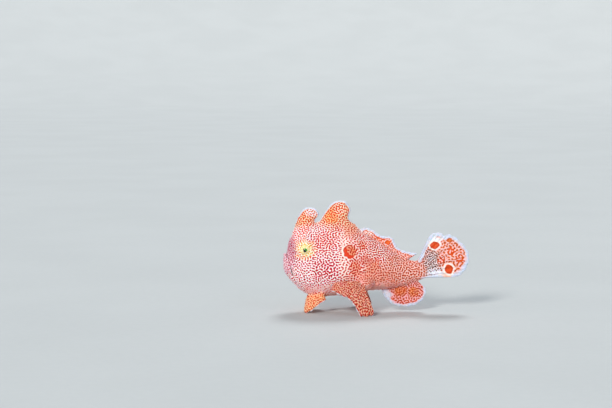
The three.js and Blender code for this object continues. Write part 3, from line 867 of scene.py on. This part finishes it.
def marks_on(surface, period, fill, width):
    """The marks of the skin, above zero inside them, spaced by a period in millimetres.

    They form as pigment cells make them: near ones feed, far ones starve each other. The fill
    says how much they join up: dots at about -0.25, worms and a net above it. Below MARKS_FADE
    they are lost, and above MARKS_MEET they run together.
    """
    state = np.random.default_rng(SEED).uniform(-1, 1, len(surface.places))
    spread = np.clip(SPREAD * (period / surface.edge) ** 2, *SPREAD_LIMITS)
    for _ in range(MARK_ROUNDS):
        near = state
        for _ in range(NEAR_STEPS):
            near = near + spread * (surface.around(near) - near)
        wide = near
        for _ in range(WIDE_STEPS):
            wide = wide + spread * (surface.around(wide) - wide)
        contrast = MARK_GAIN * (near - wide)
        state = np.tanh(contrast + FILL_FEEDS * fill)
    beyond = fill - np.clip(fill, MARKS_FADE, MARKS_MEET)
    uneven = UNEVEN * Noise(SEED + 10)(surface.places / UNEVEN_SIZE)
    return (contrast + FILL_WIDENS * fill + uneven) / 2 + width + 2 * beyond


# Colours of the skin


def hue(code):
    """The linear colour of a six-figure hex code."""
    value = np.array([int(code[i : i + 2], 16) for i in (0, 2, 4)]) / 255
    return np.where(value <= 0.04045, value / 12.92, ((value + 0.055) / 1.055) ** 2.4)


def rgba(code):
    return (*hue(code), 1)


class Paint:
    """The coats at each corner of the skin, laid one over another."""

    def __init__(self, places):
        self.x, self.y, self.z = places.T
        self.ragged = RAGGED * Noise(SEED + 8)(places / RAGGED_SIZE)
        self.coats = {name: np.tile(hue(code), (len(places), 1)) for name, code in BASE_COATS.items()}
        self.numbers = {name: np.full(len(places), number) for name, number in BASE_NUMBERS.items()}

    def lay(self, share, values):
        """Lays new values over a share of each corner."""
        for name, value in values.items():
            if name in self.coats:
                self.coats[name] += (hue(value) - self.coats[name]) * share[:, None]
            else:
                self.numbers[name] += (value - self.numbers[name]) * share

    def spot(self, centre, radii, soft):
        """A round area of the side view with a ragged edge: 1 inside, 0 outside."""
        reach = np.hypot((self.x - centre[0]) / radii[0], (self.z - centre[1]) / radii[1])
        return smoothstep(reach + self.ragged, 1 + soft, 1 - soft)

    def lay_spots(self, areas, share=1.0):
        """Lays a list of round areas, one over another, on a share of each corner."""
        for centre, radii, soft, values in areas:
            self.lay(self.spot(centre, radii, soft) * share, values)


def distance_to(line, places, limit=3.0):
    """How far each place is from a curve, up to a limit. A flat curve is met in the side view."""
    points = curve(line)(np.linspace(0, 1, 260))
    if len(line[0]) == 2:
        places = places * (1, 0, 1)
    found = np.full(len(places), limit)
    inside = np.all((places > points.min(0) - limit) & (places < points.max(0) + limit), axis=1)
    index = np.nonzero(inside)[0]
    for part in np.array_split(index, max(1, len(index) // 4000)):
        gap = np.linalg.norm(places[part][:, None] - points[None], axis=2).min(1)
        found[part] = np.minimum(gap, limit)
    return found


def margin_reach(places):
    """How far each place is from the nearest margin, as a share of the pale band along it."""
    folded = np.stack([places[:, 0], np.abs(places[:, 1]), places[:, 2]], 1)
    edges = [(fin["margin"], fin["band"]) for fin in FINS.values()] + PALE_EDGES
    return np.min([distance_to(edge, folded) / band for edge, band in edges], axis=0)


def spine_edge_distance(places):
    """How far each place is from the outline of the two head spines, in the side view."""
    edges = []
    for shape in (SECOND_SPINE, THIRD_SPINE):
        for edge in ("front", "rear"):
            edges.append([(x, z) for z, x in shape[edge] if z > SPINE_EDGE_FROM])
    return np.min([distance_to(edge, places) for edge in edges], axis=0)


def paint_skin(places, fin, spine_share):
    paint = Paint(places)
    for start, end, values in ZONES:
        paint.lay(smoothstep(paint.x, start, end), values)
    # The belly is lightened here as painted fill light on the underside
    belly = smoothstep(paint.z, *BELLY_UP) * smoothstep(paint.x, *BELLY_ALONG)
    paint.lay(belly * (1 - fin), BELLY_COATS)
    paint.lay_spots(AREAS)
    paint.lay(spine_share * smoothstep(paint.z, *SPINE_ROOT), SPINE_COATS)
    paint.lay_spots(SPINE_AREAS)
    for (left, right), (low, high), values in FIN_COATS:
        inside = (paint.x > left) & (paint.x < right) & (paint.z > low) & (paint.z < high)
        paint.lay(fin * inside, values)
    paint.lay_spots(FIN_AREAS, fin)
    eye_x, _, eye_z = EYE_CENTRE
    reach = np.hypot(paint.x - eye_x, paint.z - eye_z)
    ragged = reach + GLOW_RAGGED * Noise(SEED + 4)(places / RAGGED_SIZE)
    paint.lay(smoothstep(ragged, *GLOW_RIM), EYE_RIM_COATS)
    paint.lay(smoothstep(ragged, *GLOW_MIDDLE), EYE_COATS)
    edge = MARGIN_RAGGED * Noise(SEED + 6)(places / MARGIN_RAGGED_SIZE)
    rim = smoothstep(margin_reach(places) + edge, 1, 0.4) * fin
    tips = smoothstep(spine_edge_distance(places), SPINE_BAND, SPINE_BAND * 0.3) * spine_share
    tips *= smoothstep(np.abs(paint.y), SPINE_EDGE_HALF * 1.3, SPINE_EDGE_HALF * 0.7)
    # Lays the pale bluish margins, partly their own pale edge and partly painted backlight through the thin
    # fin and spine margins
    paint.lay(np.maximum(rim, tips), MARGIN_AND_BACKLIGHT_COATS)
    for centre, radii in OCELLI:
        wide = [radius + OCELLUS_RING for radius in radii]
        paint.lay_spots([(centre, wide, RING_SOFT, RING_COATS)])
        paint.lay_spots([(centre, radii, OCELLUS_SOFT, OCELLUS_COATS)])
    return paint


def raise_relief(surface, signal, fin):
    """Lifts soft swellings, warts and the skin between the marks out of the surface."""
    places = surface.places
    body = 1 - fin
    swelling = Noise(SEED + 1)(places / SWELLING_SIZE) * SWELLING_HEIGHT
    warts = bumps(places, WART_CELL, WART_SHARE, SEED + 2) * WART_HEIGHT
    grains = bumps(places, GRAIN_CELL, GRAIN_SHARE, SEED + 9) * GRAIN_HEIGHT
    grains = grains - np.tanh(MARK_STEEPNESS * signal) * MARK_DEPTH
    height = body * (swelling + warts) + (FIN_RELIEF + (1 - FIN_RELIEF) * body) * grains
    height *= smoothstep(places[:, 2], *RELIEF_FROM)
    surface.places = places + surface.normals() * height[:, None]
    surface.places[:, 2] = np.maximum(surface.places[:, 2], 0)


# Blender objects and materials


def mesh_object(name, places, faces, material):
    """A smooth object from places in millimetres and faces with equal numbers of corners."""
    mesh = bpy.data.meshes.new(name)
    corners = faces.shape[1]
    mesh.vertices.add(len(places))
    mesh.vertices.foreach_set("co", (places * MM).astype(np.float32).ravel())
    mesh.loops.add(faces.size)
    mesh.loops.foreach_set("vertex_index", faces.astype(np.int32).ravel())
    mesh.polygons.add(len(faces))
    mesh.polygons.foreach_set("loop_start", np.arange(0, faces.size, corners, dtype=np.int32))
    mesh.update(calc_edges=True)
    mesh.validate()
    mesh.shade_smooth()
    mesh.materials.append(material)
    thing = bpy.data.objects.new(name, mesh)
    bpy.context.scene.collection.objects.link(thing)
    return thing


def give(thing, name, values):
    """Stores one number or one colour for each corner."""
    if values.ndim == 1:
        layer = thing.data.attributes.new(name, "FLOAT", "POINT")
        layer.data.foreach_set("value", values.astype(np.float32))
        return
    layer = thing.data.attributes.new(name, "FLOAT_COLOR", "POINT")
    opaque = np.concatenate([np.clip(values, 0, 1), np.ones((len(values), 1))], 1)
    layer.data.foreach_set("color", opaque.astype(np.float32).ravel())


class Look:
    """A node material, built up from its textures to its shader."""

    def __init__(self, name):
        self.material = bpy.data.materials.new(name)
        self.material.use_nodes = True
        self.tree = self.material.node_tree
        self.shader = self.tree.nodes["Principled BSDF"]
        self.millimetres = None

    def node(self, kind, inputs, **settings):
        made = self.tree.nodes.new(kind)
        for name, value in settings.items():
            setattr(made, name, value)
        self.plug(made, inputs)
        return made

    def plug(self, node, inputs):
        for name, value in inputs.items():
            if isinstance(value, bpy.types.NodeSocket):
                self.tree.links.new(value, node.inputs[name])
            else:
                node.inputs[name].default_value = value

    def set(self, **inputs):
        """Sets the shader's sockets, written with _ for a space."""
        self.plug(self.shader, {name.replace("_", " "): value for name, value in inputs.items()})

    def place(self):
        """Places on the object in millimetres."""
        if self.millimetres is None:
            object_place = self.node("ShaderNodeTexCoord", {}).outputs["Object"]
            inputs = {0: object_place, "Scale": 1 / MM}
            self.millimetres = self.node("ShaderNodeVectorMath", inputs, operation="SCALE").outputs[0]
        return self.millimetres

    def read(self, name):
        output = "Color" if name in BASE_COATS else "Fac"
        return self.node("ShaderNodeAttribute", {}, attribute_name=name).outputs[output]

    def noise(self, scale, detail=2):
        inputs = {"Vector": self.place(), "Scale": scale, "Detail": detail}
        return self.node("ShaderNodeTexNoise", inputs).outputs["Fac"]

    def grains(self, scale):
        inputs = {"Vector": self.place(), "Scale": scale}
        return self.node("ShaderNodeTexVoronoi", inputs, feature="SMOOTH_F1").outputs["Distance"]

    def maths(self, operation, first, second):
        return self.node("ShaderNodeMath", {0: first, 1: second}, operation=operation).outputs[0]

    def ramp(self, value, low, high, start=0, end=1):
        inputs = {"Value": value, "From Min": low, "From Max": high, "To Min": start, "To Max": end}
        made = self.node("ShaderNodeMapRange", inputs, interpolation_type="SMOOTHSTEP")
        return made.outputs["Result"]

    def mix(self, share, first, second, blend="MIX"):
        made = self.node("ShaderNodeMix", {}, data_type="RGBA", blend_type=blend)
        self.plug(made, {0: share, 6: first, 7: second})
        return made.outputs[2]

    def bump(self, height, distance, strength):
        inputs = {"Height": height, "Distance": distance * MM, "Strength": strength}
        self.set(Normal=self.node("ShaderNodeBump", inputs).outputs[0])


def skin_look():
    """Velvety skin: pale specks and marks on the ground colour, all a little ragged; the pale specks are
    partly painted highlights.
    """
    look = Look("frogfish_skin")
    ragged = look.ramp(look.noise(6.5, 3), 0.25, 0.75, -0.2, 0.2)
    signal = look.maths("ADD", look.read("signal"), ragged)
    # The pale specks between the marks are partly the skin's own colour and partly painted highlights,
    # tinted cool and warm
    cool, warm = map(rgba, PALE_HUES)
    cool_share = look.ramp(look.noise(1.7, 1), 0.45, 0.7, 0, 0.5)
    pale = look.mix(cool_share, look.read("speck_and_glint"), cool, "MULTIPLY")
    warm_share = look.ramp(look.noise(2.3, 1), 0.5, 0.75, 0, 0.6)
    pale = look.mix(warm_share, pale, warm, "MULTIPLY")
    lilac_share = look.ramp(look.noise(0.9), 0.4, 0.7, 0, 0.5)
    between = look.mix(lilac_share, look.read("ground"), rgba(LILAC_HUE))
    ground = look.mix(look.ramp(signal, -0.08, -0.5), between, pale)
    mark = look.mix(look.ramp(signal, 0.35, 1.0, 0, 0.85), look.read("mark"), look.read("core"))
    fade = look.ramp(look.noise(1.2), 0.45, 0.7, 0, 0.2)
    faded = look.mix(fade, mark, look.read("ground"))
    colour = look.mix(look.ramp(signal, -0.08, 0.1), ground, faded)
    height = look.maths("ADD", look.maths("MULTIPLY", look.grains(5.0), -0.8), look.noise(9.0))
    look.bump(height, 0.09, 0.8)
    look.set(
        Base_Color=colour,
        Roughness=look.ramp(look.noise(2.2), 0.3, 0.7, 0.38, 0.58),
        Subsurface_Weight=0.2,
        Subsurface_Radius=(1.0, 0.45, 0.35),
        Subsurface_Scale=0.15 * MM,
        Specular_IOR_Level=0.25,
        Coat_Weight=0.06,
        Coat_Roughness=0.2,
    )
    return look.material


def make_skin():
    flesh = build_flesh()
    surface = Surface(*flesh.skin())
    surface.relax()
    fin = flesh.share_of("fin", surface.places)
    spine_share = flesh.share_of("spine", surface.places)
    paint = paint_skin(surface.places, fin, spine_share)
    paint.numbers["fill"] += MOTTLE * Noise(SEED + 3)(surface.places / MOTTLE_SIZE)
    signal = marks_on(surface, **paint.numbers)
    raise_relief(surface, signal, fin)
    skin = mesh_object("skin", surface.places, surface.quads, skin_look())
    give(skin, "signal", signal)
    for name, colours in paint.coats.items():
        give(skin, name, colours)
    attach(skin, "root")
    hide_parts(*[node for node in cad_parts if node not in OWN_PIECES])


# Eyes


def eye_mesh(side):
    """An eyeball with a swollen cornea, a ridged iris and a pupil, and what it is where."""
    turn, away = np.meshgrid(turns(160), np.linspace(0, np.pi, 110))
    cornea = CORNEA_SWELL * smoothstep(away, 1, 0)
    iris = smoothstep(away, *IRIS_INNER) * smoothstep(away, *IRIS_OUTER)
    ridge = IRIS_RIDGE * np.sin(34 * turn + 2 * np.sin(5 * turn)) * iris
    radius = EYE_RADIUS * (1 + cornea + ridge)
    x = radius * np.sin(away) * np.cos(turn)
    z = radius * np.sin(away) * np.sin(turn)
    y = radius * np.cos(away)
    grid = np.stack([x, y * side, z], -1) + np.array(EYE_CENTRE) * (1, side, 1)
    places, faces = closed(*skin_over(grid, True))
    return places, faces if side > 0 else faces[:, ::-1], turn.ravel(), away.ravel()


def eye_look():
    look = Look("frogfish_eye")
    streaks = look.ramp(look.read("streaks"), -0.1, 0.7, 0, 0.75)
    iris = look.mix(streaks, *map(rgba, IRIS_HUES))
    # The pupil is dark with a painted green eyeshine reflection towards one side
    gleam = look.mix(look.read("gleam"), *map(rgba, PUPIL_AND_EYESHINE_HUES))
    colour = look.mix(look.read("pupil"), iris, gleam)
    look.set(
        Base_Color=colour,
        Roughness=look.ramp(look.read("pupil"), 0, 1, 0.35, 0.08),
        Coat_Weight=0.5,
        Coat_Roughness=0.08,
    )
    look.bump(look.noise(9.0), 0.015, 0.5)
    return look.material


def make_eyes():
    look = eye_look()
    for name, side in (("eye_left", -1), ("eye_right", 1)):
        places, faces, turn, away = eye_mesh(side)
        eye = mesh_object(name, places, faces, look)
        streaks = np.sin(11 * turn + 1.5 * np.sin(3 * turn)) * 0.6 + 0.5 * np.sin(23 * turn + away * 4)
        give(eye, "streaks", streaks)
        outer, inner = (PUPIL_ANGLE + soft + 0.04 * np.sin(3 * turn + 1) for soft in PUPIL_SOFT)
        give(eye, "pupil", smoothstep(away, outer, inner))
        # Where the painted green eyeshine reflection lies in the pupil
        upper_rear = np.cos(turn - 0.8) * away / PUPIL_ANGLE
        give(eye, "gleam", smoothstep(upper_rear, -0.2, 0.4))
        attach(eye, "root")
        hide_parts(name)


# Lure


def make_lure():
    """The rod of the lure, folded back beside the head, with a tuft of fine filaments."""
    rng = np.random.default_rng(SEED + 5)
    path = curve(LURE)
    rod = limb(path, taper(*LURE_RADII), 120, 16)
    tip = path(1.0)
    parts = [rod, ball(tip, LURE_BULB, 20, 24)]
    for _ in range(LURE_FILAMENTS):
        way = unit(rng.normal(size=3) * (1, 0.8, 1) + (0.5, 0, 0.25))
        bend = rng.normal(size=3) * 0.25
        length = rng.uniform(*FILAMENT_LENGTHS)
        stops = [tip, tip + way * length * 0.5 + bend * 0.3, tip + way * length + bend * length]
        parts.append(limb(curve(stops, 8), taper(*FILAMENT_RADII), 12, 8))
    look = Look("frogfish_lure")
    bands = look.ramp(look.noise(2.4, 1), 0.42, 0.58)
    look.set(
        Base_Color=look.mix(bands, *map(rgba, LURE_HUES)),
        Roughness=look.ramp(look.noise(6.0), 0.3, 0.7, 0.4, 0.6),
        Subsurface_Weight=0.3,
        Subsurface_Radius=(1.0, 0.5, 0.4),
        Subsurface_Scale=0.4 * MM,
    )
    look.bump(look.noise(8.0), 0.03, 0.5)
    lure = mesh_object("lure", *joined(parts), look.material)
    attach(lure, "root")
    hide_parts("illicium")


# Floor, lights and camera


def make_floor():
    """A wide pale floor that curves up far from the fish all round, so that it shows no edge."""
    turn = turns(128)[None]
    away = np.concatenate([[0.0], np.geomspace(20, FLOOR_RADIUS, 40)])[:, None]
    rise = FLOOR_RISE * smoothstep(away, FLOOR_RADIUS * 0.45, FLOOR_RADIUS) ** 1.5
    grid = np.stack([away * np.cos(turn), away * np.sin(turn), rise + 0 * turn], -1)
    places, faces = closed(*skin_over(grid, True))
    look = Look("studio_floor")
    cloud = look.ramp(look.noise(0.02), 0.3, 0.7)
    look.set(
        Base_Color=look.mix(cloud, *map(rgba, FLOOR_HUES)),
        Roughness=look.ramp(look.noise(0.5), 0.3, 0.7, 0.7, 0.8),
    )
    floor = mesh_object("floor", places, faces[:, ::-1], look.material)


def aim(thing, target):
    way = Vector(target) * MM - thing.location
    thing.rotation_euler = way.to_track_quat("-Z", "Y").to_euler()


def make_lights():
    for name, side, strength, spread, tone in LIGHTS:
        light = bpy.data.lights.new(name, "SUN")
        light.energy = strength
        light.angle = np.radians(spread)
        light.color = hue(tone)
        lamp = bpy.data.objects.new(name, light)
        lamp.location = Vector(side)
        bpy.context.scene.collection.objects.link(lamp)
        aim(lamp, (0, 0, 0))
    world = bpy.data.worlds.new("studio")
    world.use_nodes = True
    background = world.node_tree.nodes["Background"]
    background.inputs["Color"].default_value = rgba(WORLD_HUE)
    background.inputs["Strength"].default_value = WORLD_STRENGTH
    bpy.context.scene.world = world


def make_camera():
    camera = bpy.data.cameras.new("camera")
    camera.lens = LENS
    camera.sensor_width = SENSOR
    camera.clip_start = 0.01
    body = bpy.data.objects.new("camera", camera)
    rise = np.radians(CAMERA_RISE)
    away = np.array([0, -np.cos(rise), np.sin(rise)]) * CAMERA_DISTANCE
    body.location = Vector((np.array(CAMERA_TARGET) + away) * MM)
    bpy.context.scene.collection.objects.link(body)
    aim(body, CAMERA_TARGET)
    bpy.context.scene.camera = body


make_skin()
make_eyes()
make_lure()
make_floor()
make_lights()
make_camera()
bpy.context.scene.view_settings.view_transform = "Standard"
